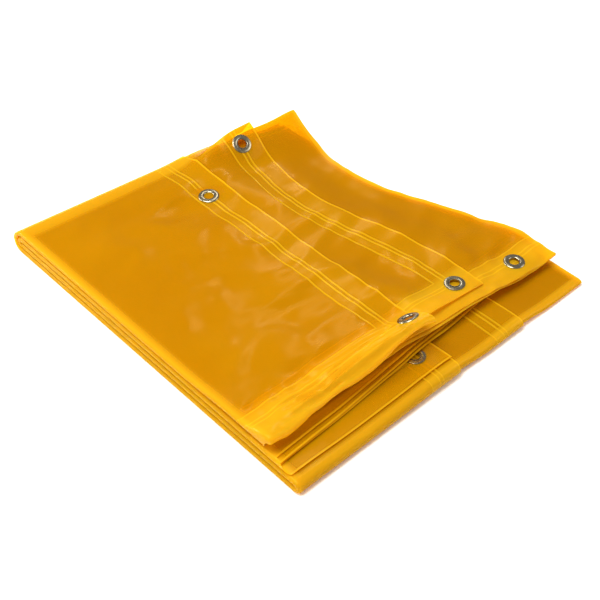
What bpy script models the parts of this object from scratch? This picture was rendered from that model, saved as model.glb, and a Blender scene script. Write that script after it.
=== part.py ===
"""A folded welding curtain: one hemmed sheet of amber PVC film with nickel eyelets.

The sheet is folded in four across its width and in four along its length, so up to
sixteen plies lie on each other. All sizes here are in millimetres; MM turns them to metres.
X runs along the front fold, Y to the back fold, and Z up from the surface it lies on.
"""

import math

import bmesh
import bpy
from mathutils import Matrix, Vector

MM = 0.001

# The film and the folded stack
FILM = 0.4
PLY = 2.15
FOLD_Y_BACK = 445.0
FOLD_Y_FRONT = 8.0
LEFT_X = 4.0
RIGHT_X = 408.6
TOP_HEM_X = 216.0
BOTTOM_HEM_X = 312.0
BOTTOM_HEM_INSET = 24.0
HEM = 40.0
HALF_STACK = 8.0
BACK_SKEW = 0.0002

# How far the stack closes up where a page is missing, as a share of that page's room
SETTLE = 0.85
SETTLE_RUN = 46.0

# The raised back fold and the rolled front edge of the top pages
BULGE_HEIGHT = 30.0
BULGE_Y = 428.0
BULGE_WIDTH = 20.0
ROLL_HEIGHT = 18.0
ROLL_Y = 48.0
ROLL_WIDTH = 13.0
PUFF_HEIGHT = 3.0

# How far the top of the stack leans in over the back fold, at the left
LEAN = 9.0

# Room under the eyelets that lie on the lowest ply
LIFT_HEIGHT = 1.6
LIFT_RADIUS = 80.0
LIFTED = ((190.0, 296.0), (190.0, 23.0), (259.0, 296.0), (288.0, 23.0))

# Eyelets
HOLE_RADIUS = 5.5
BARREL_RADIUS = 6.1
FLANGE_RADIUS = 11.5
FILM_HOLE_RADIUS = 6.6
CUTTER_DEPTH = 1.6
HEM_INSET = 26.0
EYELET_SIDES = 12
OUTER_SIDE = -1.0

# The back fold is the joint's axis
AXIS_Y = 461.8
AXIS_Z = 24.0

# The middle of the folded curtain, put over the origin
CENTRE_X = 205.225
CENTRE_Y = 230.601

AMBER = (0.80, 0.36, 0.02)
NICKEL = (0.62, 0.60, 0.55)


for old_object in list(bpy.data.objects):
    bpy.data.objects.remove(old_object, do_unlink=True)


def ease(low, high, value):
    """A smooth step from 0 at low to 1 at high."""
    share = min(max((value - low) / (high - low), 0.0), 1.0)
    return share * share * (3.0 - 2.0 * share)


# The outline of the pages, seen from above


def right_edge(y):
    return RIGHT_X - 58.0 * ease(70.0, 330.0, y) + 8.0 * ease(340.0, 400.0, y)


def bottom_hem(y):
    return BOTTOM_HEM_X - 30.0 * ease(120.0, 310.0, y) + 12.0 * ease(310.0, 400.0, y)


def line_x(number, y):
    """The eight lines that divide the pages across, from the left fold to the right fold."""
    hem = bottom_hem(y)
    right = right_edge(y)
    lines = (LEFT_X, 95.0, TOP_HEM_X - HEM, TOP_HEM_X, hem - HEM, hem, hem + 0.36 * (right - hem), right)
    return lines[number]


# Across the sheet: the top page, the left fold, the lower page, the right fold, the upper
# page, the inner left fold and the second page. A column is (part, line or angle, lags), and
# the lags say how far back the free edges of the outer leaf and the inner leaf lie there.

PAGE_ROOM = {"top_page": 3.5, "lower_page": 0.5, "upper_page": 1.5, "second_page": 2.5}


def page_columns():
    found = [("top_page", number, (0.0, -6.0)) for number in (3, 2, 1, 0)]
    found += [("left_fold", math.pi * step / 4, (2.0 * step, 4.0 * step - 6.0)) for step in (1, 2, 3)]
    found += [("lower_page", number, (8.0 - 1.2 * number, 14.0 + 5.0 * number)) for number in range(8)]
    found += [("right_fold", math.pi / 2, (-2.0, 50.0))]
    found += [("upper_page", number, (14.0 - 2.2 * number, 8.0 + 6.0 * number)) for number in range(7, -1, -1)]
    found += [("inner_fold", math.pi / 2, (14.0, 8.0))]
    found += [("second_page", number, (14.0 + 1.0 * number, 8.0 + 5.0 * number)) for number in range(6)]
    return found


def column_place(column, y):
    """The x of a column at y, and its room over the middle of the doubled sheet, in plies."""
    part, value, _ = column
    if part in PAGE_ROOM:
        return line_x(value, y), PAGE_ROOM[part]
    if part == "left_fold":
        return LEFT_X - 1.5 * PLY * math.sin(value), 2.0 + 1.5 * math.cos(value)
    if part == "inner_fold":
        return LEFT_X - 0.5 * PLY * math.sin(value), 2.0 - 0.5 * math.cos(value)
    return right_edge(y) + 0.5 * PLY * math.sin(value), 1.0 - 0.5 * math.cos(value)


# Along the sheet: the outer leaf, the back fold, the bottom leaf, the front fold, the second
# leaf, the inner back fold and the inner leaf. A row is (part, y or angle).

LEAF_ROWS = {
    "outer_leaf": (44, 52, 78, 105, 160, 220, 290, 330, 357, 385, 399, 425, 435, 445),
    "bottom_leaf": (445, 400, 360, 310, 282, 220, 150, 80, 38, 8),
    "second_leaf": (8, 60, 120, 180, 242, 270, 330, 390, 445),
    "inner_leaf": (445, 400, 363, 335, 260, 190, 120, 60, 32, 20),
}
HALF_TURN = math.pi / 2
FOLD_GAP = 0.25


def fold_rows(part, start, end, steps):
    return [(part, start + (end - start) * step / steps) for step in range(steps + 1)]


def leaf_rows(part):
    return [(part, y) for y in LEAF_ROWS[part]]


def film_rows():
    """The rows of each node of film. The back fold is parted along its outermost line."""
    return {
        "film_outer_leaf": leaf_rows("outer_leaf") + fold_rows("upper_back_fold", HALF_TURN, 0.0, 3)[1:],
        "film_inner_leaf": fold_rows("upper_inner_fold", 0.0, HALF_TURN, 2)[:-1]
        + leaf_rows("inner_leaf"),
        "film_lower_leaves": fold_rows("lower_back_fold", 0.0, -HALF_TURN, 3)[:-1]
        + leaf_rows("bottom_leaf")
        + fold_rows("front_fold", -HALF_TURN, HALF_TURN, 4)[1:-1]
        + leaf_rows("second_leaf")
        + fold_rows("lower_inner_fold", -HALF_TURN, 0.0, 2)[1:],
    }


def row_place(row, room, lags, spread):
    """The y of a row, and its level in the stack, in plies, for a column with this room."""
    part, value = row
    fade = 1.0 - ease(20.0, 200.0, value)
    if part == "outer_leaf":
        return value + lags[0] * fade, HALF_STACK + 4.0 + room
    if part == "bottom_leaf":
        return value, HALF_STACK - 4.0 - room
    if part == "second_leaf":
        return value, HALF_STACK - 4.0 + room
    if part == "inner_leaf":
        return value + lags[1] * fade, HALF_STACK + 4.0 - room
    if part == "front_fold":
        reach = (room + spread) * PLY * math.cos(value)
        return FOLD_Y_FRONT - reach, HALF_STACK - 4.0 + room * math.sin(value)
    outer = part.endswith("back_fold")
    radius = 4.0 + room if outer else 4.0 - room
    reach = (radius + spread) if outer else radius
    return FOLD_Y_BACK + reach * PLY * math.cos(value), HALF_STACK + radius * math.sin(value)


def parting(row):
    """Half of the gap between the bodies, at the outermost line of the back fold."""
    part, value = row
    if part.startswith("upper"):
        return FOLD_GAP * math.cos(value)
    return -FOLD_GAP * math.cos(value) if part.startswith("lower") else 0.0


# The shape of the stack, from level (in plies) to height


TOP_PAGE_LEVELS = ((0.0, 1.0), (7.0, 9.0), (15.0, 16.0))
SECOND_PAGE_LEVELS = ((1.0, 2.0), (6.0, 7.0), (9.0, 10.0), (14.0, 15.0))


def levels_below(level, ranges):
    return sum(min(max(level - low, 0.0), high - low) for low, high in ranges)


def pages_gone(x, y):
    """How far the stack closes up for the top page and for the second page."""
    hem = bottom_hem(y)
    without_top = SETTLE * ease(TOP_HEM_X + 3, TOP_HEM_X + 3 + SETTLE_RUN, x)
    return without_top, SETTLE * ease(hem + 3, hem + 3 + SETTLE_RUN, x)


def stack_height(x, y, level):
    """The height of a level. Where a page doesn't reach, the plies round it close up."""
    without_top, without_second = pages_gone(x, y)
    taken = without_top * levels_below(level, TOP_PAGE_LEVELS)
    taken += without_second * levels_below(level, SECOND_PAGE_LEVELS)
    return PLY * (level - 0.5 - taken) + FILM / 2


def lift(x, y):
    """The lowest ply stands clear of the ground round its eyelets."""
    near = [ease(0.0, LIFT_RADIUS, LIFT_RADIUS - math.hypot(x - a, y - b)) for a, b in LIFTED]
    return LIFT_HEIGHT * max(near)


def bulge(x, y, level):
    """The outer leaf stands up along its back fold, to the right of the top hem."""
    share = ease(11.6, 14.6, level) * ease(190.0, 270.0, x) * (1.0 + 0.4 * ease(300.0, 350.0, x))
    return BULGE_HEIGHT * share * math.exp(-(((y - BULGE_Y) / BULGE_WIDTH) ** 2) / 2)


def roll(x, y, level):
    """The free edge of the top page rolls up along the front."""
    share = ease(13.6, 15.5, level) * (1.0 - ease(225.0, 300.0, x))
    share *= 0.45 + 0.55 * ease(60.0, 150.0, x)
    return ROLL_HEIGHT * share * math.exp(-(((y - ROLL_Y) / ROLL_WIDTH) ** 2) / 2)


def puff(y, level):
    """The outer leaf lies loosely on the inner one along the front."""
    return PUFF_HEIGHT * ease(11.6, 12.4, level) * (1.0 - ease(100.0, 170.0, y))


def lean(x, y, level):
    """The upper plies end a little short of the lower ones at the back, on the left."""
    return LEAN * ease(300.0, 445.0, y) * ease(8.0, 16.0, level) * (1.0 - ease(180.0, 260.0, x))


def film_point(column, row):
    """A point in the middle of the film, in metres."""
    part, value = row
    fold_y = FOLD_Y_FRONT if part == "front_fold" else FOLD_Y_BACK
    row_y = value if part in LEAF_ROWS else fold_y
    x, room = column_place(column, row_y)
    y, level = row_place(row, room, column[2], sum(pages_gone(x, row_y)))
    z = stack_height(x, y, level) + lift(x, y) + bulge(x, y, level) + roll(x, y, level)
    z += puff(y, level) + parting(row)
    y -= lean(x, y, level)
    return Vector((x - CENTRE_X, y * (1.0 - BACK_SKEW * x) - CENTRE_Y, z)) * MM


# Eyelets: name, page, x, leaf and y. The two hems that lie inside have seven each.


def eyelet_places():
    along = (
        ("outer_leaf", 65.0),
        ("outer_leaf", 371.0),
        ("bottom_leaf", 296.0),
        ("bottom_leaf", 23.0),
        ("second_leaf", 256.0),
        ("inner_leaf", 349.0),
        ("inner_leaf", 46.0),
    )
    found = []
    for number, (leaf, y) in enumerate(along, 1):
        x = 203.0 if number == 1 else TOP_HEM_X - HEM_INSET
        found.append((f"top_hem_eyelet_{number}", "top_page", x, leaf, y))
        y = 412.0 if number == 2 else y
        found.append((f"bottom_hem_eyelet_{number}", "second_page", bottom_hem(y) - BOTTOM_HEM_INSET, leaf, y))
    across = (("lower_page", 119.0), ("upper_page", 366.0), ("upper_page", 41.0))
    for number, (page, x) in enumerate(across, 1):
        found.append((f"left_hem_eyelet_{number}", page, x, "outer_leaf", 65.0))
        found.append((f"right_hem_eyelet_{number}", page, x, "inner_leaf", 46.0))
    return found


def find_cell(columns, rows, page, x, leaf, y):
    """The grid cell that holds a place on the film, and how far across and along it that is."""
    for i, (left, right) in enumerate(zip(columns, columns[1:])):
        if left[0] != page or right[0] != page:
            continue
        start, end = line_x(left[1], y), line_x(right[1], y)
        if not min(start, end) <= x <= max(start, end):
            continue
        for j, (low, high) in enumerate(zip(rows, rows[1:])):
            if low[0] == leaf == high[0] and min(low[1], high[1]) <= y <= max(low[1], high[1]):
                across = (x - start) / (end - start)
                return (i, j), (across, (y - low[1]) / (high[1] - low[1]))
    return None


def new_material(name, colour, roughness, metallic):
    material = bpy.data.materials.new(name)
    material.use_nodes = True
    shader = material.node_tree.nodes["Principled BSDF"]
    shader.inputs["Base Color"].default_value = (*colour, 1.0)
    shader.inputs["Roughness"].default_value = roughness
    shader.inputs["Metallic"].default_value = metallic
    return material


def new_object(name, bm, material, parent):
    """An object that keeps its world place under a parent empty."""
    mesh = bpy.data.meshes.new(name)
    bm.to_mesh(mesh)
    bm.free()
    mesh.materials.append(material)
    mesh.shade_smooth()
    mesh.set_sharp_from_angle(angle=math.radians(35))
    thing = bpy.data.objects.new(name, mesh)
    bpy.context.scene.collection.objects.link(thing)
    thing.parent = parent
    thing.matrix_parent_inverse = Matrix.Translation(-parent.location)
    return thing


def new_empty(name, place):
    empty = bpy.data.objects.new(name, None)
    empty.location = place
    bpy.context.scene.collection.objects.link(empty)
    return empty


def cell_corners(grid, cell):
    i, j = cell
    return [grid[i, j], grid[i + 1, j], grid[i + 1, j + 1], grid[i, j + 1]]


def cell_plane(corners):
    places = [corner.co for corner in corners]
    middle = sum(places, Vector()) / 4.0
    return middle, (places[2] - places[0]).cross(places[3] - places[1]).normalized()


def flatten(corners):
    """Moves a cell's corners onto one plane, so that an eyelet can sit in it."""
    middle, normal = cell_plane(corners)
    for corner in corners:
        corner.co -= normal * normal.dot(corner.co - middle)


def film_sheet(columns, rows, cells):
    """The middle surface of the folded film, as a grid laid over its columns and rows."""
    across, along = len(columns) - 1, len(rows) - 1
    bm = bmesh.new()
    bmesh.ops.create_grid(bm, x_segments=across, y_segments=along, size=1.0)
    grid = {}
    for vert in bm.verts:
        i = round((vert.co.x + 1.0) / 2.0 * across)
        j = round((vert.co.y + 1.0) / 2.0 * along)
        vert.co = film_point(columns[i], rows[j])
        grid[i, j] = vert
    for cell in cells:
        flatten(cell_corners(grid, cell))
    return bm, grid


def eyelet_frame(grid, cell, share):
    """An eyelet's place in its flat cell, with its own Z out of the film's outer side."""
    corners = cell_corners(grid, cell)
    near = corners[0].co.lerp(corners[1].co, share[0])
    far = corners[3].co.lerp(corners[2].co, share[0])
    _, normal = cell_plane(corners)
    normal *= OUTER_SIDE
    along = (far - near).normalized()
    turn = Matrix((along.cross(normal), along, normal)).transposed().to_4x4()
    return Matrix.Translation(near.lerp(far, share[1])) @ turn


def turned_ring(profile, frame):
    """A closed ring turned from an outline of (radius, height) pairs."""
    bm = bmesh.new()
    verts = [bm.verts.new((radius * MM, 0.0, height * MM)) for radius, height in profile]
    edges = [bm.edges.new((a, b)) for a, b in zip(verts, verts[1:] + verts[:1])]
    bmesh.ops.spin(
        bm,
        geom=verts + edges,
        cent=(0, 0, 0),
        axis=(0, 0, 1),
        angle=math.tau,
        steps=EYELET_SIDES,
        use_merge=True,
    )
    bmesh.ops.recalc_face_normals(bm, faces=bm.faces)
    bmesh.ops.transform(bm, matrix=frame, verts=bm.verts)
    return bm


def grommet(frame):
    """The front half of an eyelet: a barrel with a rounded flange."""
    return turned_ring(
        (
            (HOLE_RADIUS, -1.35),
            (BARREL_RADIUS, -1.35),
            (BARREL_RADIUS, 0.5),
            (FLANGE_RADIUS, 0.5),
            (FLANGE_RADIUS - 0.5, 1.1),
            (FLANGE_RADIUS - 2.6, 1.4),
            (HOLE_RADIUS + 0.4, 1.2),
        ),
        frame,
    )


def washer(frame):
    """The back half of an eyelet: the ring that the barrel is set over."""
    inner, outer = BARREL_RADIUS + 0.3, FLANGE_RADIUS - 0.3
    outline = ((inner, -0.5), (inner, -1.15), (outer - 2.4, -1.2), (outer, -0.9), (outer, -0.5))
    return turned_ring(outline, frame)


def hole_cutter(name, frames, material, parent):
    """One short cylinder for each eyelet, through its own ply only."""
    bm = bmesh.new()
    for frame in frames:
        bmesh.ops.create_cone(
            bm,
            cap_ends=True,
            segments=EYELET_SIDES,
            radius1=FILM_HOLE_RADIUS * MM,
            radius2=FILM_HOLE_RADIUS * MM,
            depth=CUTTER_DEPTH * MM,
            matrix=frame,
        )
    cutter = new_object(name, bm, material, parent)
    cutter.hide_render = True
    cutter.display_type = "WIRE"
    return cutter


def film_node(name, rows, amber, nickel, parent):
    """One stretch of the film as a thin solid, with the eyelets that are set in it."""
    columns = page_columns()
    placed = []
    for eyelet, page, x, leaf, y in eyelet_places():
        found = find_cell(columns, rows, page, x, leaf, y)
        if found:
            placed.append((eyelet, *found))
    bm, grid = film_sheet(columns, rows, [cell for _, cell, _ in placed])
    frames = {eyelet: eyelet_frame(grid, cell, share) for eyelet, cell, share in placed}
    film = new_object(name, bm, amber, parent)
    solid = film.modifiers.new("film thickness", "SOLIDIFY")
    solid.thickness = FILM * MM
    solid.offset = 0.0
    holes = film.modifiers.new("eyelet holes", "BOOLEAN")
    holes.object = hole_cutter(name + "_cutter", frames.values(), amber, parent)
    for eyelet, frame in frames.items():
        new_object(eyelet + "_grommet", grommet(frame), nickel, parent)
        new_object(eyelet + "_washer", washer(frame), nickel, parent)


def build():
    amber = new_material("amber_film", AMBER, 0.15, 0.0)
    nickel = new_material("nickel", NICKEL, 0.25, 1.0)
    lower = new_empty("lower_leaf", (0.0, 0.0, 0.0))
    upper = new_empty("upper_leaf", ((0.0 - CENTRE_X) * MM, (AXIS_Y - CENTRE_Y) * MM, AXIS_Z * MM))
    bpy.context.view_layer.update()
    for name, rows in film_rows().items():
        film_node(name, rows, amber, nickel, lower if name == "film_lower_leaves" else upper)


build()
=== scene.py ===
# %% [markdown]
# # A folded welding curtain
#
# A welding curtain is one sheet of plasticised PVC film, tinted amber so that it holds back
# the arc's ultraviolet light but still lets people see through. Its edges are turned over and
# welded into hems, and nickel-plated eyelets are set in the hems. Here it lies folded: in four
# across its width, and then in four along its length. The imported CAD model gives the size, the
# places of the eyelets and the fold that the upper leaf opens on; this lesson gives the film
# its thin, wavy plies, its welds and its see-through finish.

import math

import bmesh
import bpy
import numpy as np
from mathutils import Matrix, Vector, noise


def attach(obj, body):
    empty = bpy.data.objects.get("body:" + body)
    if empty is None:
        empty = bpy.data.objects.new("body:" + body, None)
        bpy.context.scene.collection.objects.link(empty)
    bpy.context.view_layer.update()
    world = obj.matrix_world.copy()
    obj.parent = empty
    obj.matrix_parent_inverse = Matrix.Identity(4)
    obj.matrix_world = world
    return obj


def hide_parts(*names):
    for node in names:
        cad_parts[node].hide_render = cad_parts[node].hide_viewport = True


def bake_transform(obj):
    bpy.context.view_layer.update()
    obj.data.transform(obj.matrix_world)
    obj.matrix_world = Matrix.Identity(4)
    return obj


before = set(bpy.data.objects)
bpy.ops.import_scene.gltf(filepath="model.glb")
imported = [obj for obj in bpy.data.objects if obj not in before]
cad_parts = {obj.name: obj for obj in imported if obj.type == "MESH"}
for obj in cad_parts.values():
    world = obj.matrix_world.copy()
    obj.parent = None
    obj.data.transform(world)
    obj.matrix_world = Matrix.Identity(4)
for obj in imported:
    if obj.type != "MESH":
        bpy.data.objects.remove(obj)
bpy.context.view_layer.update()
MM = 0.001

# %% [markdown]
# ## Camera
# The curtain is seen from its front left corner and from well above, with a short telephoto
# lens. Aiming the camera is a matter of one vector: from the point looked at, back to the lens.

# %% Camera
AZIMUTH = math.radians(-42.75)
ELEVATION = math.radians(44.0)
DISTANCE = 1.2597
LOOK_AT = Vector((-0.0307, -0.0431, 0.0))
BACK = Vector(
    (
        math.sin(AZIMUTH) * math.cos(ELEVATION),
        -math.cos(AZIMUTH) * math.cos(ELEVATION),
        math.sin(ELEVATION),
    )
)
lens = bpy.data.cameras.new("camera")
lens.lens = 72.0
lens.sensor_width = 36.0
camera = bpy.data.objects.new("camera", lens)
camera.location = LOOK_AT + BACK * DISTANCE
camera.rotation_mode = "QUATERNION"
camera.rotation_quaternion = (-BACK).to_track_quat("-Z", "Y")
bpy.context.scene.collection.objects.link(camera)
bpy.context.scene.camera = camera
print("camera at", [round(v, 3) for v in camera.location])

# %% [markdown]
# ## How the sheet is folded
# The folded film is made from its unfolded pattern. Every point of the sheet has a place across
# it (which page, and how far along that page) and a place along it (which leaf). Two functions
# turn those into x, y and a level in the stack, counted in plies, and a third turns the level
# into a height. One mapping for all plies keeps them in order, so none can pass through another.

# %% Sizes of the folded pack, in millimetres
FILM = 0.4
PLY = 2.15
FOLD_Y_BACK = 445.0
FOLD_Y_FRONT = 8.0
LEFT_X = 4.0
RIGHT_X = 408.6
TOP_HEM_X = 216.0
BOTTOM_HEM_X = 312.0
HEM = 40.0
HALF_STACK = 8.0
BACK_SKEW = 0.0002
SETTLE = 0.85
SETTLE_RUN = 46.0
BULGE_HEIGHT = 30.0
BULGE_Y = 428.0
BULGE_WIDTH = 20.0
ROLL_HEIGHT = 18.0
ROLL_Y = 48.0
ROLL_WIDTH = 13.0
PUFF_HEIGHT = 3.0
LEAN = 9.0
LIFT_HEIGHT = 1.6
LIFT_RADIUS = 80.0
LIFTED = ((190.0, 296.0), (190.0, 23.0), (259.0, 296.0), (288.0, 23.0))
CENTRE_X = 205.225
CENTRE_Y = 230.601
HALF_TURN = math.pi / 2
SQUARENESS = 0.7  # below 1, the back fold is squarer than a half circle


def ease(low, high, value):
    """A smooth step from 0 at low to 1 at high."""
    share = min(max((value - low) / (high - low), 0.0), 1.0)
    return share * share * (3.0 - 2.0 * share)


def right_edge(y):
    return RIGHT_X - 58.0 * ease(70.0, 330.0, y) + 8.0 * ease(340.0, 400.0, y)


def bottom_hem(y):
    return BOTTOM_HEM_X - 30.0 * ease(120.0, 310.0, y) + 12.0 * ease(310.0, 400.0, y)


def page_x(place, y):
    """The x of a place on a page: 0 to 7, the lines that divide the pages across."""
    hem, right = bottom_hem(y), right_edge(y)
    lines = (LEFT_X, 95.0, TOP_HEM_X - HEM, TOP_HEM_X, hem - HEM, hem, hem + 0.36 * (right - hem), right)
    low = min(int(place), 6)
    return lines[low] + (lines[low + 1] - lines[low]) * (place - low)


print("folded pack:", round(RIGHT_X), "by", round(FOLD_Y_BACK + 16), "mm, up to 16 plies")

# %% Across the sheet: columns of the pattern
PAGE_ROOM = {"top_page": 3.5, "lower_page": 0.5, "upper_page": 1.5, "second_page": 2.5}
STEPS = (22, 20, 11, 12, 11, 9, 14)  # columns between the page lines, 4 to 5 mm apart


def page_places(first, last):
    """Places along a page, in either direction, in steps of 4 to 5 mm."""
    low, high = min(first, last), max(first, last)
    found = [line + step / STEPS[line] for line in range(low, high) for step in range(STEPS[line])]
    found.append(float(high))
    return found if first < last else found[::-1]


def page_columns():
    """Columns as (part, place or angle, (how far back the outer leaf's and the inner leaf's edges lie))."""
    found = [("top_page", p, (0.0, -6.0)) for p in page_places(3, 0)]
    for step in range(1, 8):
        half = step / 2
        found.append(("left_fold", math.pi * step / 8, (2.0 * half, 4.0 * half - 6.0)))
    found += [("lower_page", p, (8.0 - 1.2 * p, 14.0 + 5.0 * p)) for p in page_places(0, 7)]
    found += [("right_fold", math.pi * step / 4, (-1.0, 50.0)) for step in (1, 2, 3)]
    found += [("upper_page", p, (14.0 - 2.2 * p, 8.0 + 6.0 * p)) for p in page_places(7, 0)]
    found += [("inner_fold", math.pi * step / 4, (14.0, 8.0)) for step in (1, 2, 3)]
    found += [("second_page", p, (14.0 + 1.0 * p, 8.0 + 5.0 * p)) for p in page_places(0, 5)]
    return found


def column_place(column, y):
    """The x of a column at y, and its room over the middle of the doubled sheet, in plies."""
    part, value, _ = column
    if part in PAGE_ROOM:
        return page_x(value, y), PAGE_ROOM[part]
    if part == "left_fold":
        return LEFT_X - 1.5 * PLY * math.sin(value), 2.0 + 1.5 * math.cos(value)
    if part == "inner_fold":
        return LEFT_X - 0.5 * PLY * math.sin(value), 2.0 - 0.5 * math.cos(value)
    return right_edge(y) + 0.5 * PLY * math.sin(value), 1.0 - 0.5 * math.cos(value)


COLUMNS = page_columns()
print(len(COLUMNS), "columns across the sheet")

# %% Along the sheet: rows of the pattern
SEAM_Y = 433.0  # where the leaves meet the strips that bend round the back fold


def spaced(part, start, end, gap):
    count = max(2, round(abs(end - start) / gap))
    return [(part, start + (end - start) * step / count) for step in range(count + 1)]


def turned(part, start, end, count):
    return [(part, start + (end - start) * step / count) for step in range(count + 1)]


ROWS = {
    "outer_leaf": turned("outer_curl", 1.15 * math.pi, 0.0, 7)[:-1]
    + spaced("outer_leaf", 44.0, 100.0, 2.2)[:-1]
    + spaced("outer_leaf", 100.0, SEAM_Y, 4.4),
    "outer_fold": spaced("outer_leaf", SEAM_Y, FOLD_Y_BACK, 4.0)
    + turned("outer_turn", HALF_TURN, -HALF_TURN, 12)[1:-1]
    + spaced("bottom_leaf", FOLD_Y_BACK, SEAM_Y, 4.0),
    "bottom_leaf": spaced("bottom_leaf", SEAM_Y, FOLD_Y_FRONT, 5.6)
    + turned("front_fold", -HALF_TURN, HALF_TURN, 10)[1:],
    "second_leaf": spaced("second_leaf", FOLD_Y_FRONT, SEAM_Y, 5.6),
    "inner_fold": spaced("second_leaf", SEAM_Y, FOLD_Y_BACK, 4.0)
    + turned("inner_turn", -HALF_TURN, HALF_TURN, 8)[1:-1]
    + spaced("inner_leaf", FOLD_Y_BACK, SEAM_Y, 4.0),
    "inner_leaf": spaced("inner_leaf", SEAM_Y, 20.0, 5.6),
}
for name, rows in ROWS.items():
    print(name, len(rows), "rows")


# %% Where a row lies
def row_place(row, room, lags, spread):
    """The y of a row, and its level in the stack, in plies, for a column with this room."""
    part, value = row
    if part == "outer_curl":
        y, level = row_place(("outer_leaf", 44.0), room, lags, spread)
        return y, level
    fade = 1.0 - ease(20.0, 200.0, value)
    if part == "outer_leaf":
        return value + lags[0] * fade, HALF_STACK + 4.0 + room
    if part == "bottom_leaf":
        return value, HALF_STACK - 4.0 - room
    if part == "second_leaf":
        return value, HALF_STACK - 4.0 + room
    if part == "inner_leaf":
        return value + lags[1] * fade, HALF_STACK + 4.0 - room
    if part == "front_fold":
        reach = (room + spread) * PLY * math.cos(value)
        return FOLD_Y_FRONT - reach, HALF_STACK - 4.0 + room * math.sin(value)
    outer = part == "outer_turn"
    radius = 4.0 + room if outer else 4.0 - room
    reach = (radius + spread) if outer else radius
    out = math.cos(value) ** SQUARENESS
    up = math.copysign(abs(math.sin(value)) ** SQUARENESS, value)
    return FOLD_Y_BACK + reach * PLY * out, HALF_STACK + radius * up


# %% [markdown]
# ## From level to height
# Sixteen plies lie at the left, but only eight at the right, where the two shorter pages have
# ended. The stack closes up over those ends. On top of that come the soft shapes: the ridge
# along the back fold, the loose front edge of the top page, the slack air under the outer leaf,
# and long shallow waves that fade out deeper in the stack.

# %% Heights
TOP_PAGE_LEVELS = ((0.0, 1.0), (7.0, 9.0), (15.0, 16.0))
SECOND_PAGE_LEVELS = ((1.0, 2.0), (6.0, 7.0), (9.0, 10.0), (14.0, 15.0))


def levels_below(level, ranges):
    return sum(min(max(level - low, 0.0), high - low) for low, high in ranges)


def pages_gone(x, y):
    """How far the stack closes up for the top page and for the second page."""
    hem = bottom_hem(y)
    without_top = SETTLE * ease(TOP_HEM_X + 3, TOP_HEM_X + 3 + SETTLE_RUN, x)
    return without_top, SETTLE * ease(hem + 3, hem + 3 + SETTLE_RUN, x)


def stack_height(x, y, level):
    without_top, without_second = pages_gone(x, y)
    taken = without_top * levels_below(level, TOP_PAGE_LEVELS)
    taken += without_second * levels_below(level, SECOND_PAGE_LEVELS)
    return PLY * (level - 0.5 - taken) + FILM / 2


def lift(x, y):
    """The lowest ply stands clear of the ground round its eyelets."""
    near = [ease(0.0, LIFT_RADIUS, LIFT_RADIUS - math.hypot(x - a, y - b)) for a, b in LIFTED]
    return LIFT_HEIGHT * max(near)


def bulge(x, y, level):
    """The outer leaf stands up along its back fold, to the right of the top hem."""
    share = ease(11.6, 14.6, level) * ease(190.0, 270.0, x) * (1.0 + 0.4 * ease(300.0, 350.0, x))
    off = (y - BULGE_Y) / (BULGE_WIDTH if y < BULGE_Y else 0.6 * BULGE_WIDTH)
    return BULGE_HEIGHT * share * (0.72 * math.exp(-(off**2) / 2) + 0.28 * math.exp(-2.2 * abs(off)))


def roll(x, y, level):
    """The free edge of the top page stands up along the front."""
    share = ease(13.6, 15.5, level) * (1.0 - ease(225.0, 300.0, x))
    share *= 0.45 + 0.55 * ease(60.0, 150.0, x)
    return ROLL_HEIGHT * share * math.exp(-(((y - ROLL_Y) / ROLL_WIDTH) ** 2) / 2)


def puff(y, level):
    """The outer leaf lies loosely on the inner one along the front."""
    return PUFF_HEIGHT * ease(11.6, 12.4, level) * (1.0 - ease(100.0, 170.0, y))


def lean(x, y, level):
    """The upper plies end a little short of the lower ones at the back, on the left."""
    return LEAN * ease(300.0, 445.0, y) * ease(8.0, 16.0, level) * (1.0 - ease(180.0, 260.0, x))


# %% Waves and creases of the soft film
WAVES = (
    # direction in degrees, wavelength, height and phase, in mm
    (33.0, 122.0, 1.7, 0.4),
    (64.0, 88.0, 0.7, 2.1),
    (12.0, 61.0, 0.3, 1.2),
)


def waves(x, y, level):
    """Long shallow waves, tallest in the top ply, that fade towards the folds."""
    share = ease(2.0, 15.5, level) * ease(-4.0, 70.0, x) * ease(-6.0, 40.0, FOLD_Y_BACK - y)
    drift = 2.2 * noise.noise(Vector((x, y, level * 6.0)) / 150.0)
    total = 0.0
    for degrees, length, height, phase in WAVES:
        angle = math.radians(degrees)
        along = x * math.cos(angle) + y * math.sin(angle)
        total += height * math.sin(math.tau * along / length + phase + drift)
    soft = noise.noise(Vector((x, y, level * 4.0)) / 55.0)
    return share * (total + 0.9 * soft)


PLEAT_WIDTH = 10.5  # from one pleat's top to the next, in mm


def pleats(x, y, level):
    """The loose front hem of the top page is gathered into long pleats, and its corners are crumpled."""
    top = ease(14.4, 15.4, level) * (1.0 - ease(225.0, 260.0, x)) * (1.0 - ease(66.0, 88.0, y))
    wander = 2.0 * noise.noise(Vector((x / 60.0, y / 30.0, 0.0)))
    ripple = math.sin(math.tau * (y + 0.05 * x) / PLEAT_WIDTH + wander)
    corner = ease(12.5, 13.4, level) * ease(150.0, 200.0, x) * (1.0 - ease(75.0, 115.0, y))
    crushed = noise.noise(Vector((x / 15.0, y / 11.0, level / 3.0)))
    right = ease(12.5, 13.4, level) * ease(300.0, 350.0, x) * (1.0 - ease(110.0, 240.0, y))
    soft = noise.noise(Vector((x / 24.0, y / 20.0, level / 3.0 + 7.0)))
    near = ease(12.5, 13.4, level) * (1.0 - ease(70.0, 130.0, x)) * (1.0 - ease(85.0, 115.0, y))
    return (
        2.0 * top * ripple * ease(20.0, 60.0, x)
        + 2.6 * near * crushed * ease(2.0, 20.0, x)
        + 1.5 * corner * crushed
        + 3.0 * right * soft
    )


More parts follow.
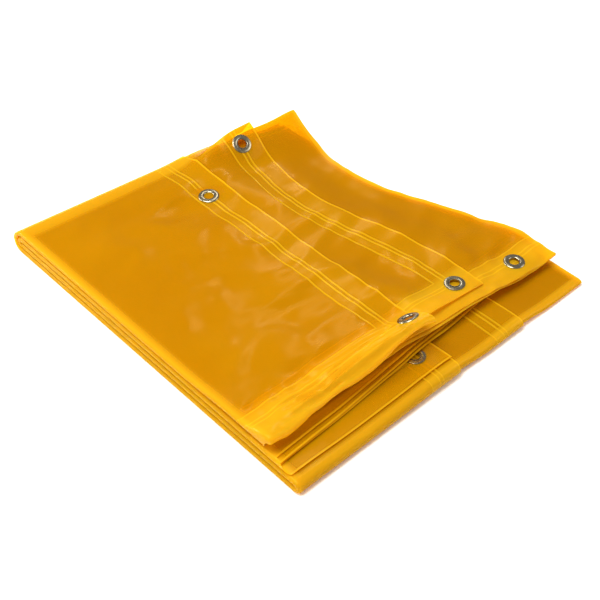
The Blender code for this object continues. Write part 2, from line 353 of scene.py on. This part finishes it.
CREASES = (
    # start x and y, end x and y, height, in mm
    (60, 330, 190, 250, 1.6),
    (70, 205, 215, 150, 1.3),
    (20, 120, 150, 95, 1.0),
)


def crease(x, y, level):
    """Three slanted creases in the top page, and the random crumple of film that was folded before."""
    total = 0.0
    for ax, ay, bx, by, depth in CREASES:
        dx, dy = bx - ax, by - ay
        length = math.hypot(dx, dy)
        along = ((x - ax) * dx + (y - ay) * dy) / length
        off = ((x - ax) * dy - (y - ay) * dx) / length
        fade = ease(-30.0, 20.0, along) * (1.0 - ease(length - 20.0, length + 30.0, along))
        total += depth * fade * math.exp(-abs(off) / 9.0)
    ridge = 1.0 - 2.2 * abs(noise.noise(Vector((x / 62.0 + y / 90.0, y / 40.0 - x / 120.0, level / 9.0))))
    fine = 1.0 - 2.4 * abs(noise.noise(Vector((x / 25.0 - y / 60.0, y / 21.0, 3.0 + level / 9.0))))
    calm = ease(8.0, 60.0, x) * ease(-6.0, 30.0, FOLD_Y_BACK - y)
    return total * ease(13.0, 15.5, level) + calm * ease(9.0, 15.5, level) * (1.7 * ridge + 0.45 * fine)


def film_point(column, row):
    """A point in the middle of the film, in metres."""
    part, value = row
    if part in ("outer_leaf", "bottom_leaf", "second_leaf", "inner_leaf"):
        row_y = value
    else:
        row_y = {"front_fold": FOLD_Y_FRONT, "outer_curl": 44.0}.get(part, FOLD_Y_BACK)
    x, room = column_place(column, row_y)
    y, level = row_place(row, room, column[2], sum(pages_gone(x, row_y)))
    z = stack_height(x, y, level) + lift(x, y) + bulge(x, y, level) + roll(x, y, level)
    z += puff(y, level) + waves(x, y, level) + crease(x, y, level) + pleats(x, y, level)
    y -= lean(x, y, level)
    if part == "outer_curl":
        radius = 0.7 + 3.4 * ease(14.5, 15.5, level) * (1.0 + 0.35 * math.sin(x / 17.0))
        y -= radius * math.sin(value)
        z -= radius * (1.0 - math.cos(value))
    return Vector((x - CENTRE_X, y * (1.0 - BACK_SKEW * x) - CENTRE_Y, z)) * MM


top_middle = film_point(("top_page", 1.0, (0, 0)), ("outer_leaf", 220.0))
print("top page at its middle, mm:", [round(v / MM, 1) for v in top_middle])

# %% [markdown]
# ## The unfolded size
# Adding up the film's own length over its pages and folds gives the flat sheet, which is the
# size it was cut to. The same lengths are kept on the mesh as a UV map in metres, so that the
# hems' welds and the marks of the calender rolls are drawn on the film and follow it round
# every fold.


# %% Lengths along the film
def path_lengths(points):
    found = [0.0]
    for a, b in zip(points, points[1:]):
        found.append(found[-1] + (b - a).length)
    return found


SHEET_ROWS = [row for rows in ROWS.values() for row in rows]
across_points = [film_point(column, ("bottom_leaf", 200.0)) for column in COLUMNS]
ACROSS = path_lengths(across_points)
along_points = [film_point(("lower_page", 1.0, (0.0, 0.0)), row) for row in SHEET_ROWS]
ALONG = path_lengths(along_points)
SHEET_WIDTH, SHEET_LENGTH = ACROSS[-1], ALONG[-1]
ROW_START = {}
count = 0
for name, rows in ROWS.items():
    ROW_START[name] = count
    count += len(rows)
print("flat sheet, m:", round(SHEET_WIDTH, 3), "by", round(SHEET_LENGTH, 3))

# %% [markdown]
# ## Eyelets
# Each eyelet is two turned rings: the grommet, with a rounded flange and a barrel through the
# film, and the washer that the barrel is set over at the back. The CAD eyelets are coarse, so
# each is replaced by a smooth one, spun from its outline, in exactly the same place. That place
# is read from the CAD mesh: its middle, and the direction in which it is thinnest.

# %% Eyelet places on the pattern
def eyelet_places():
    """Eyelet name, page, leaf."""
    leaves = ["outer_leaf"] * 2 + ["bottom_leaf"] * 2 + ["second_leaf"] + ["inner_leaf"] * 2
    found = []
    for number, leaf in enumerate(leaves, 1):
        found.append((f"top_hem_eyelet_{number}", "top_page", leaf))
        found.append((f"bottom_hem_eyelet_{number}", "second_page", leaf))
    for number, page in enumerate(("lower_page", "upper_page", "upper_page"), 1):
        found.append((f"left_hem_eyelet_{number}", page, "outer_leaf"))
        found.append((f"right_hem_eyelet_{number}", page, "inner_leaf"))
    return found


# %% Reading an eyelet's place from the CAD
BARREL_END = 1.35  # how far the barrel reaches behind the film's middle, in mm


def eyelet_frame(node):
    """The matrix that puts a ring's own Z along the eyelet's axis, with the film at height 0."""
    points = np.array([v.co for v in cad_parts[node].data.vertices])
    middle = (points.max(0) + points.min(0)) / 2
    _, axes = np.linalg.eigh(np.cov((points - points.mean(0)).T))
    axis = axes[:, 0]
    height = (points - middle) @ axis
    radius = np.linalg.norm(points - middle - np.outer(height, axis), axis=1)
    if radius[height > 0].mean() < radius[height < 0].mean():
        axis, height = -axis, -height
    centre = points.mean(0)
    centre = centre + axis * ((points - centre) @ axis).min() + axis * BARREL_END * MM
    turn = Vector(axis).to_track_quat("Z", "Y").to_matrix().to_4x4()
    return Matrix.Translation(Vector(centre)) @ turn


EYELETS = {name: (eyelet_frame(name + "_grommet"), page, leaf) for name, page, leaf in eyelet_places()}
for name in ("top_hem_eyelet_2", "bottom_hem_eyelet_1"):
    print(name, [round(v / MM, 1) for v in EYELETS[name][0].translation])

# %% [markdown]
# ## The film
# A grid laid over the columns and rows is moved, point by point, to its folded place. Round
# each eyelet the film is pulled flat into the eyelet's plane and its hole is cut. bmesh's
# solidify gives it the real 0.4 mm.

# %% Flatten the film round an eyelet, and cut its hole
FLAT_RADIUS = 13.0
FREE_RADIUS = 30.0
CUT_RADIUS = 8.2


def set_in_eyelet(verts, place):
    inverse = place.inverted()
    for vert in verts:
        local = inverse @ vert.co
        distance = math.hypot(local.x, local.y) / MM
        if distance < FREE_RADIUS and abs(local.z) < 6 * MM:
            local.z *= ease(FLAT_RADIUS, FREE_RADIUS, distance)
            vert.co = place @ local


def faces_in_hole(faces, place):
    inverse = place.inverted()
    found = []
    for face in faces:
        local = inverse @ face.calc_center_median()
        if math.hypot(local.x, local.y) < CUT_RADIUS * MM and abs(local.z) < MM:
            found.append(face)
    return found


# %% One piece of the film
NEIGHBOURS = {
    # the rows just past a piece's seams, so that both sides of a seam get the same slope
    "outer_leaf": ([], ["outer_fold"]),
    "outer_fold": (["outer_leaf"], ["bottom_leaf"]),
    "bottom_leaf": (["outer_fold"], ["second_leaf"]),
    "second_leaf": (["bottom_leaf"], ["inner_fold"]),
    "inner_fold": (["second_leaf"], ["inner_leaf"]),
    "inner_leaf": (["inner_fold"], []),
}


def painted_fold_light(column, row, y):
    """How much painted light a place gets: a painted highlight, brighter yellow, on the folds, the pack's
    side edges, the loose front hem, the back fold and its ridge.
    """
    part, value, _ = column
    if part in PAGE_ROOM:
        x = page_x(value, y)
        near = min(x - LEFT_X, right_edge(y) - x if value > 5 else 1e3)
        across = 1.0 - ease(0.0, 9.0, near)
    else:
        across = 1.0
    turning = {"outer_curl": 1.0, "outer_turn": 0.8, "front_fold": 0.9, "inner_turn": 0.8}.get(row[0], 0.0)
    if row[0] in ("bottom_leaf", "second_leaf"):
        turning = 1.0 - ease(FOLD_Y_FRONT, FOLD_Y_FRONT + 5.0, row[1])
    hem = 0.0
    if row[0] == "outer_leaf":
        hem = 0.75 * (1.0 - ease(74.0, 92.0, row[1]))
        hem = max(hem, 0.7 * ease(FOLD_Y_BACK - 12.0, FOLD_Y_BACK - 2.0, row[1]))
        if part in PAGE_ROOM:
            hem = max(hem, 0.9 * (1.0 - ease(0.0, 5.0, abs(row[1] - BULGE_Y))) * ease(210.0, 240.0, x))
    return max(across, turning, hem)


PAST, FIRST_SEAM, LAST_SEAM = 1, 2, 3


def film_piece(name, rows_name, first=0, last=None):
    """The film over these rows and over the columns from first to last, with its UV maps in metres."""
    before, after = NEIGHBOURS[rows_name]
    rows = [ROWS[n][-2] for n in before] + ROWS[rows_name] + [ROWS[n][1] for n in after]
    start = ROW_START[rows_name] - len(before)
    last = len(COLUMNS) - 1 if last is None else last
    columns = COLUMNS[first : last + 1]
    across, along = len(columns) - 1, len(rows) - 1
    bm = bmesh.new()
    bmesh.ops.create_grid(bm, x_segments=across, y_segments=along, size=1.0)
    flat = bm.loops.layers.uv.new("Flat")
    hems = bm.loops.layers.uv.new("Hems")
    # Painted light: each point's share of the brighter yellow painted on folds, edges and the front hem.
    painted_glow = bm.verts.layers.float.new("PaintedFoldLight")
    extra = bm.verts.layers.int.new("extra")
    place_of = {}
    parts = {}
    for vert in bm.verts:
        i = round((vert.co.x + 1.0) / 2.0 * across)
        j = round((vert.co.y + 1.0) / 2.0 * along)
        vert.co = film_point(columns[i], rows[j])
        vert[painted_glow] = painted_fold_light(columns[i], rows[j], rows[j][1] if rows[j][0] in ROWS else FOLD_Y_BACK)
        vert[extra] = PAST if (before and j == 0) or (after and j == along) else 0
        if (before and j == 1) or (after and j == along - 1):
            vert[extra] = FIRST_SEAM if j == 1 else LAST_SEAM
        u, v = ACROSS[first + i], ALONG[min(max(start + j, 0), len(ALONG) - 1)]
        to_long_edge = min(hem_distance(columns[i], u), 0.3)
        to_short_edge = min(v, SHEET_LENGTH - v)
        place_of[vert] = ((u, v), (to_long_edge, to_short_edge))
        parts.setdefault((columns[i][0], rows[j][0]), []).append(vert)
    for face in bm.faces:
        for loop in face.loops:
            loop[flat].uv, loop[hems].uv = place_of[loop.vert]
    holes = []
    for place, page, leaf in EYELETS.values():
        if (page, leaf) in parts:
            verts = parts[page, leaf]
            set_in_eyelet(verts, place)
            holes += faces_in_hole({face for vert in verts for face in vert.link_faces}, place)
    bmesh.ops.delete(bm, geom=list(set(holes)), context="FACES")
    bm.normal_update()
    for vert in bm.verts:
        vert.co += vert.normal * FILM / 2 * MM
    bmesh.ops.solidify(bm, geom=bm.faces[:], thickness=FILM * MM)
    past = [face for face in bm.faces if any(vert[extra] == PAST for vert in face.verts)]
    bmesh.ops.delete(bm, geom=past, context="FACES")
    for seam in (FIRST_SEAM, LAST_SEAM):
        open_edges = [edge for edge in bm.edges if edge.is_boundary and edge.verts[0][extra] == seam]
        long_edges = [edge for edge in open_edges if edge.calc_length() > 1.4 * FILM * MM]
        if long_edges:
            bmesh.ops.bridge_loops(bm, edges=long_edges)
    bm.verts.layers.int.remove(bm.verts.layers.int["extra"])
    mesh = bpy.data.meshes.new(name)
    bm.to_mesh(mesh)
    bm.free()
    mesh.shade_smooth()
    mesh.set_sharp_from_angle(angle=math.radians(60))
    piece = bpy.data.objects.new(name + "_sheet", mesh)
    bpy.context.scene.collection.objects.link(piece)
    print(name, len(mesh.polygons), "faces")
    return piece


def hem_distance(column, u):
    """How far a column is from the nearer long edge of the sheet, in metres."""
    part, value, _ = column
    if part == "second_page" and value > 3.0:
        return (page_x(5.0, 200.0) - page_x(value, 200.0)) * MM
    return min(u, SHEET_WIDTH - u)


# %% The leaves, each on its own body
film = {}
for leaf, body, node in (
    ("outer_leaf", "upper_leaf", "film_outer_leaf"),
    ("inner_leaf", "upper_leaf", "film_inner_leaf"),
    ("second_leaf", "lower_leaf", "film_lower_leaves"),
    ("bottom_leaf", "lower_leaf", "film_lower_leaves"),
):
    film[leaf] = film_piece("film_" + leaf, leaf)
    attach(film[leaf], body)
    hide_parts(node)

# %% [markdown]
# ## The back fold
# The film bends round the back fold in strips of their own, which are attached to neither
# leaf. The outer strip turns round all the others. The inner strip is in three, because its
# middle height drops as pages end.

# %% Strips that bend
ends = [number for number, column in enumerate(COLUMNS) if column[0] == "top_page"][-1]
second_start = [number for number, column in enumerate(COLUMNS) if column[0] == "inner_fold"][0] - 1
STRIPS = (
    # name, rows, first and last column, fall per mm to the right, half height of the bend in mm
    ("film_outer_back_fold", "outer_fold", 0, None, 0.0200, 3.5),
    ("film_inner_back_fold_top_page", "inner_fold", 0, ends, 0.0, 0.7),
    ("film_inner_back_fold_middle_pages", "inner_fold", ends, second_start, 0.0199, 0.7),
    ("film_inner_back_fold_second_page", "inner_fold", second_start, None, 0.0115, 0.7),
)
for name, rows_name, first, last, fall, half in STRIPS:
    strip = film_piece(name, rows_name, first, last)
    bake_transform(strip)
    film[name] = strip

# %% Flat sizes
FLAT_PARTS = {name: (name, 0, len(COLUMNS) - 1) for name in film if name in ROWS}
for name, rows_name, first, last, _, _ in STRIPS:
    FLAT_PARTS[name] = (rows_name, first, len(COLUMNS) - 1 if last is None else last)
for name, (rows_name, first, last) in FLAT_PARTS.items():
    sampled = [COLUMNS[first + (last - first) * step // 8] for step in range(1, 8)]
    lengths = [path_lengths([film_point(column, row) for row in ROWS[rows_name]])[-1] for column in sampled]

# %% [markdown]
# ## Turning the rings
# An outline of a few points, spun about Z, is the quickest way to a turned part. The flange is
# rounded over, and its inner lip rolls down into the barrel.

# %% Ring outlines, as (radius, height) in mm
GROMMET = (
    (5.5, -1.35),
    (6.1, -1.35),
    (6.1, 0.45),
    (11.3, 0.25),
    (11.5, 0.45),
    (11.3, 0.8),
    (10.6, 1.15),
    (9.6, 1.36),
    (8.4, 1.42),
    (7.2, 1.36),
    (6.3, 1.15),
    (5.75, 0.8),
    (5.5, 0.3),
)
WASHER = (
    (6.4, -0.5),
    (6.4, -1.05),
    (6.8, -1.2),
    (8.6, -1.25),
    (10.4, -1.1),
    (11.1, -0.85),
    (11.2, -0.5),
)
RING_STEPS = 56


def turned_ring(name, outline, place):
    bm = bmesh.new()
    verts = [bm.verts.new((radius * MM, 0.0, height * MM)) for radius, height in outline]
    edges = [bm.edges.new((a, b)) for a, b in zip(verts, verts[1:] + verts[:1])]
    bmesh.ops.spin(
        bm,
        geom=verts + edges,
        cent=(0, 0, 0),
        axis=(0, 0, 1),
        angle=math.tau,
        steps=RING_STEPS,
        use_merge=True,
    )
    bmesh.ops.recalc_face_normals(bm, faces=bm.faces)
    bmesh.ops.transform(bm, matrix=place, verts=bm.verts)
    mesh = bpy.data.meshes.new(name)
    bm.to_mesh(mesh)
    bm.free()
    mesh.shade_smooth()
    mesh.set_sharp_from_angle(angle=math.radians(50))
    ring = bpy.data.objects.new(name, mesh)
    bpy.context.scene.collection.objects.link(ring)
    return ring


# %% Eyelets in place
rings = []
for name, (place, page, leaf) in EYELETS.items():
    body = "upper_leaf" if leaf in ("outer_leaf", "inner_leaf") else "lower_leaf"
    for kind, outline in (("grommet", GROMMET), ("washer", WASHER)):
        ring = turned_ring(f"{name}_{kind}_ring", outline, place)
        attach(ring, body)
        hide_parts(f"{name}_{kind}")
        rings.append(ring)
print(len(rings), "rings")


# %% [markdown]
# ## Materials
# Colours are written as sRGB hex values, as a paint chart gives them, and turned to linear
# light by one function. One more adds a shader node with its settings and links.


# %% Helpers for materials
def colour(hex_value):
    """An sRGB hex colour as linear RGBA."""
    parts = [int(hex_value[i : i + 2], 16) / 255 for i in (0, 2, 4)]
    return (*(p / 12.92 if p <= 0.04045 else ((p + 0.055) / 1.055) ** 2.4 for p in parts), 1.0)


def add(tree, kind, settings=None, inputs=None):
    """Adds a node. settings are its properties; inputs are values, or the outputs to link."""
    node = tree.nodes.new(kind)
    for key, value in (settings or {}).items():
        setattr(node, key, value)
    for key, value in (inputs or {}).items():
        if isinstance(value, bpy.types.NodeSocket):
            tree.links.new(value, node.inputs[key])
        else:
            node.inputs[key].default_value = value
    return node


def new_material(name):
    material = bpy.data.materials.new(name)
    material.use_nodes = True
    material.node_tree.nodes.clear()
    return material, material.node_tree


# %% [markdown]
# ### Plasticised PVC film
# The film is clear resin with an amber dye, pressed between hot polished rolls. Light that
# crosses it turns deeper orange with each ply, because every ply takes out more of the green
# and blue. Its face is glossy, but handling leaves a faint haze, so gloss and roughness drift
# from place to place. Each face of the thin solid lets part of the light straight through,
# tinted, scatters part of it, and mirrors a little. Where the hem is turned over the film is
# double, and its two weld lines are pressed flat and look paler.
# Along the folds, the sheet's cut edges, the back ridge and the loose front hem, the colour is painted a
# brighter yellow and made less see-through: a painted highlight.

# %% Film
film_material, tree = new_material("plasticised PVC film, calendered")
hems_uv = add(tree, "ShaderNodeUVMap", {"uv_map": "Hems"})
flat_uv = add(tree, "ShaderNodeUVMap", {"uv_map": "Flat"})
hem_parts = add(tree, "ShaderNodeSeparateXYZ", inputs={0: hems_uv.outputs[0]})
to_edge = add(
    tree,
    "ShaderNodeMath",
    {"operation": "MINIMUM"},
    {0: hem_parts.outputs[0], 1: hem_parts.outputs[1]},
)


def band(tree, distance, middle, half, soft):
    """1 on a line at this distance from the edge, fading to 0 over soft. All in metres."""
    off = add(tree, "ShaderNodeMath", {"operation": "SUBTRACT"}, {0: distance, 1: middle})
    off = add(tree, "ShaderNodeMath", {"operation": "ABSOLUTE"}, {0: off.outputs[0]})
    return add(
        tree,
        "ShaderNodeMapRange",
        {"interpolation_type": "SMOOTHSTEP"},
        {"Value": off.outputs[0], "From Min": half, "From Max": half + soft, "To Min": 1.0, "To Max": 0.0},
    ).outputs[0]


in_hem = add(
    tree,
    "ShaderNodeMapRange",
    {"interpolation_type": "SMOOTHSTEP"},
    {"Value": to_edge.outputs[0], "From Min": 0.0395, "From Max": 0.0405, "To Min": 1.0, "To Max": 0.0},
).outputs[0]
WELD_LINES = (0.0240, 0.0290)  # their distances from the edge, in metres
line_a = band(tree, to_edge.outputs[0], WELD_LINES[0], 0.0006, 0.0008)
line_b = band(tree, to_edge.outputs[0], WELD_LINES[1], 0.0006, 0.0008)
# Painted highlight: a thin band along the sheet's cut edges is painted brighter yellow; the weld lines and
# the turned hem edge are real marks.
painted_edge_highlight = band(tree, to_edge.outputs[0], 0.0, 0.0012, 0.0012)
turned_edge = band(tree, to_edge.outputs[0], 0.0400, 0.0004, 0.0009)
welds = add(tree, "ShaderNodeMath", {"operation": "MAXIMUM"}, {0: line_a, 1: line_b}).outputs[0]
lines = add(tree, "ShaderNodeMath", {"operation": "MAXIMUM"}, {0: welds, 1: turned_edge}).outputs[0]
welds_and_painted_edge_highlight = add(tree, "ShaderNodeMath", {"operation": "MAXIMUM"}, {0: lines, 1: painted_edge_highlight}).outputs[0]

cloud = add(tree, "ShaderNodeTexNoise", inputs={"Vector": flat_uv.outputs[0], "Scale": 7.0, "Detail": 3.0})
haze = add(tree, "ShaderNodeTexNoise", inputs={"Vector": flat_uv.outputs[0], "Scale": 28.0, "Detail": 4.0})
stretch = add(
    tree, "ShaderNodeMapping", inputs={"Vector": flat_uv.outputs[0], "Scale": (160.0, 9.0, 1.0)}
)
rolls = add(tree, "ShaderNodeTexNoise", inputs={"Vector": stretch.outputs[0], "Scale": 1.0, "Detail": 2.0})
crumple = add(tree, "ShaderNodeTexNoise", inputs={"Vector": flat_uv.outputs[0], "Scale": 24.0, "Detail": 2.0})

tone = add(
    tree,
    "ShaderNodeMix",
    {"data_type": "RGBA"},
    {"Factor": cloud.outputs["Fac"], "A": colour("E6B600"), "B": colour("F2CC10")},
)
# Painted light: the fold-light attribute paints the folds, edges, back ridge and loose front hem a brighter
# yellow.
painted_glow = add(tree, "ShaderNodeAttribute", {"attribute_name": "PaintedFoldLight"}).outputs["Fac"]
faint = add(tree, "ShaderNodeMath", {"operation": "MULTIPLY"}, {0: welds_and_painted_edge_highlight, 1: 0.45}).outputs[0]
soft_painted_glow = add(tree, "ShaderNodeMath", {"operation": "MULTIPLY"}, {0: painted_glow, 1: 0.85}).outputs[0]
light = add(tree, "ShaderNodeMath", {"operation": "MAXIMUM"}, {0: faint, 1: soft_painted_glow}).outputs[0]
# FFE22C is the painted highlight colour; the real weld lines are mixed towards it too.
toned = add(
    tree,
    "ShaderNodeMix",
    {"data_type": "RGBA"},
    {"Factor": light, "A": tone.outputs["Result"], "B": colour("FFE22C")},
)
gloss = add(
    tree,
    "ShaderNodeMapRange",
    inputs={"Value": haze.outputs["Fac"], "From Min": 0.3, "From Max": 0.7, "To Min": 0.12, "To Max": 0.26},
)
height = add(
    tree, "ShaderNodeMath", {"operation": "MULTIPLY_ADD"}, {0: in_hem, 1: 0.35, 2: crumple.outputs["Fac"]}
)
height = add(
    tree, "ShaderNodeMath", {"operation": "MULTIPLY_ADD"}, {0: lines, 1: 0.5, 2: height.outputs[0]}
)
height = add(
    tree,
    "ShaderNodeMath",
    {"operation": "MULTIPLY_ADD"},
    {0: rolls.outputs["Fac"], 1: 0.25, 2: height.outputs[0]},
)
bump = add(tree, "ShaderNodeBump", inputs={"Strength": 0.4, "Distance": 0.0007, "Height": height.outputs[0]})
# Real PVC's gloss has no tint. Here it is tinted gold, because white over amber turns pink.
face = add(
    tree,
    "ShaderNodeBsdfPrincipled",
    inputs={
        "Base Color": toned.outputs["Result"],
        "Roughness": gloss.outputs[0],
        "IOR": 1.53,
        "Specular IOR Level": 0.5,
        "Specular Tint": colour("FFDC7A"),
        "Normal": bump.outputs[0],
    },
)
through = add(
    tree,
    "ShaderNodeBsdfTranslucent",
    inputs={"Color": toned.outputs["Result"], "Normal": bump.outputs[0]},
)
lit = add(tree, "ShaderNodeMixShader", inputs={0: 0.38, 1: face.outputs[0], 2: through.outputs[0]})
clear = add(tree, "ShaderNodeBsdfTransparent", inputs={"Color": colour("FAE04C")})
# The painted fold light and the painted edge band also make the film less see-through there.
half_painted_glow = add(tree, "ShaderNodeMath", {"operation": "MULTIPLY"}, {0: painted_glow, 1: 0.6}).outputs[0]
shown = add(tree, "ShaderNodeMath", {"operation": "MAXIMUM"}, {0: welds_and_painted_edge_highlight, 1: half_painted_glow}).outputs[0]
solid_share = add(
    tree,
    "ShaderNodeMapRange",
    inputs={"Value": shown, "From Min": 0.0, "From Max": 1.0, "To Min": 0.25, "To Max": 0.42},
)
hem_share = add(
    tree, "ShaderNodeMath", {"operation": "MULTIPLY_ADD"}, {0: in_hem, 1: 0.05, 2: solid_share.outputs[0]}
)
sheet = add(
    tree, "ShaderNodeMixShader", inputs={0: hem_share.outputs[0], 1: clear.outputs[0], 2: lit.outputs[0]}
)
add(tree, "ShaderNodeOutputMaterial", inputs={"Surface": sheet.outputs[0]})
for piece in film.values():
    piece.data.materials.append(film_material)
print("film material on", len(film), "pieces")

# %% [markdown]
# ### Nickel-plated brass
# The eyelets are pressed from thin brass strip and plated with bright nickel: a slightly warm
# grey metal, nearly a mirror, with fine scuffs from tumbling in the plating barrel.

# %% Nickel
nickel_material, tree = new_material("nickel-plated brass, barrel plated")
where = add(tree, "ShaderNodeTexCoord")
scuffs = add(
    tree, "ShaderNodeTexNoise", inputs={"Vector": where.outputs["Object"], "Scale": 420.0, "Detail": 3.0}
)
stain = add(
    tree, "ShaderNodeTexNoise", inputs={"Vector": where.outputs["Object"], "Scale": 160.0, "Detail": 2.0}
)
plate = add(
    tree,
    "ShaderNodeMix",
    {"data_type": "RGBA"},
    {"Factor": stain.outputs["Fac"], "A": colour("7D745E"), "B": colour("A89E86")},
)
polish = add(
    tree,
    "ShaderNodeMapRange",
    inputs={"Value": scuffs.outputs["Fac"], "From Min": 0.3, "From Max": 0.7, "To Min": 0.18, "To Max": 0.30},
)
dents = add(
    tree,
    "ShaderNodeBump",
    inputs={"Strength": 0.15, "Distance": 0.0001, "Height": scuffs.outputs["Fac"]},
)
metal = add(
    tree,
    "ShaderNodeBsdfPrincipled",
    inputs={
        "Base Color": plate.outputs["Result"],
        "Metallic": 1.0,
        "Roughness": polish.outputs[0],
        "Normal": dents.outputs[0],
    },
)
add(tree, "ShaderNodeOutputMaterial", inputs={"Surface": metal.outputs[0]})
for ring in rings:
    ring.data.materials.append(nickel_material)

# %% [markdown]
# ## Studio
# A pale sweep, a bright even sky and four soft boxes: a large one over the top, a low one from
# behind and a weak one from the right. The fourth is a narrow strip, placed where the level
# film mirrors it towards the camera, so that only the wrinkles' slopes catch it.

# %% Floor, sky and lights
bm = bmesh.new()
bmesh.ops.create_grid(bm, x_segments=1, y_segments=1, size=6.0)
mesh = bpy.data.meshes.new("floor")
bm.to_mesh(mesh)
bm.free()
floor = bpy.data.objects.new("floor", mesh)
bpy.context.scene.collection.objects.link(floor)
floor_material, tree = new_material("white paper sweep, matt")
grain = add(tree, "ShaderNodeTexCoord")
grain = add(tree, "ShaderNodeTexNoise", inputs={"Vector": grain.outputs["Object"], "Scale": 3.0})
paper = add(
    tree,
    "ShaderNodeMix",
    {"data_type": "RGBA"},
    {"Factor": grain.outputs["Fac"], "A": colour("F8F8F7"), "B": colour("FCFCFC")},
)
paper = add(tree, "ShaderNodeBsdfDiffuse", inputs={"Color": paper.outputs["Result"]})
add(tree, "ShaderNodeOutputMaterial", inputs={"Surface": paper.outputs[0]})
mesh.materials.append(floor_material)

world = bpy.data.worlds.new("studio")
bpy.context.scene.world = world
world.use_nodes = True
sky = world.node_tree.nodes["Background"]
sky.inputs["Color"].default_value = (1.0, 1.0, 1.0, 1.0)
sky.inputs["Strength"].default_value = 0.36


def soft_box(name, place, size, power):
    light = bpy.data.lights.new(name, "AREA")
    light.shape = "RECTANGLE"
    light.size, light.size_y = size
    light.energy = power
    box = bpy.data.objects.new(name, light)
    box.location = place
    box.rotation_mode = "QUATERNION"
    box.rotation_quaternion = (-Vector(place)).to_track_quat("-Z", "Y")
    bpy.context.scene.collection.objects.link(box)


soft_box("top box", (-0.45, 0.1, 1.6), (1.0, 0.9), 41.0)
soft_box("back box", (-1.1, 1.5, 0.55), (1.1, 0.5), 26.0)
soft_box("right box", (1.2, -0.9, 1.0), (0.8, 0.8), 7.0)
soft_box("strip box", (0.85, 0.92, 1.21), (0.16, 1.1), 4.0)
bpy.context.scene.view_settings.view_transform = "Standard"
print("lights in place")
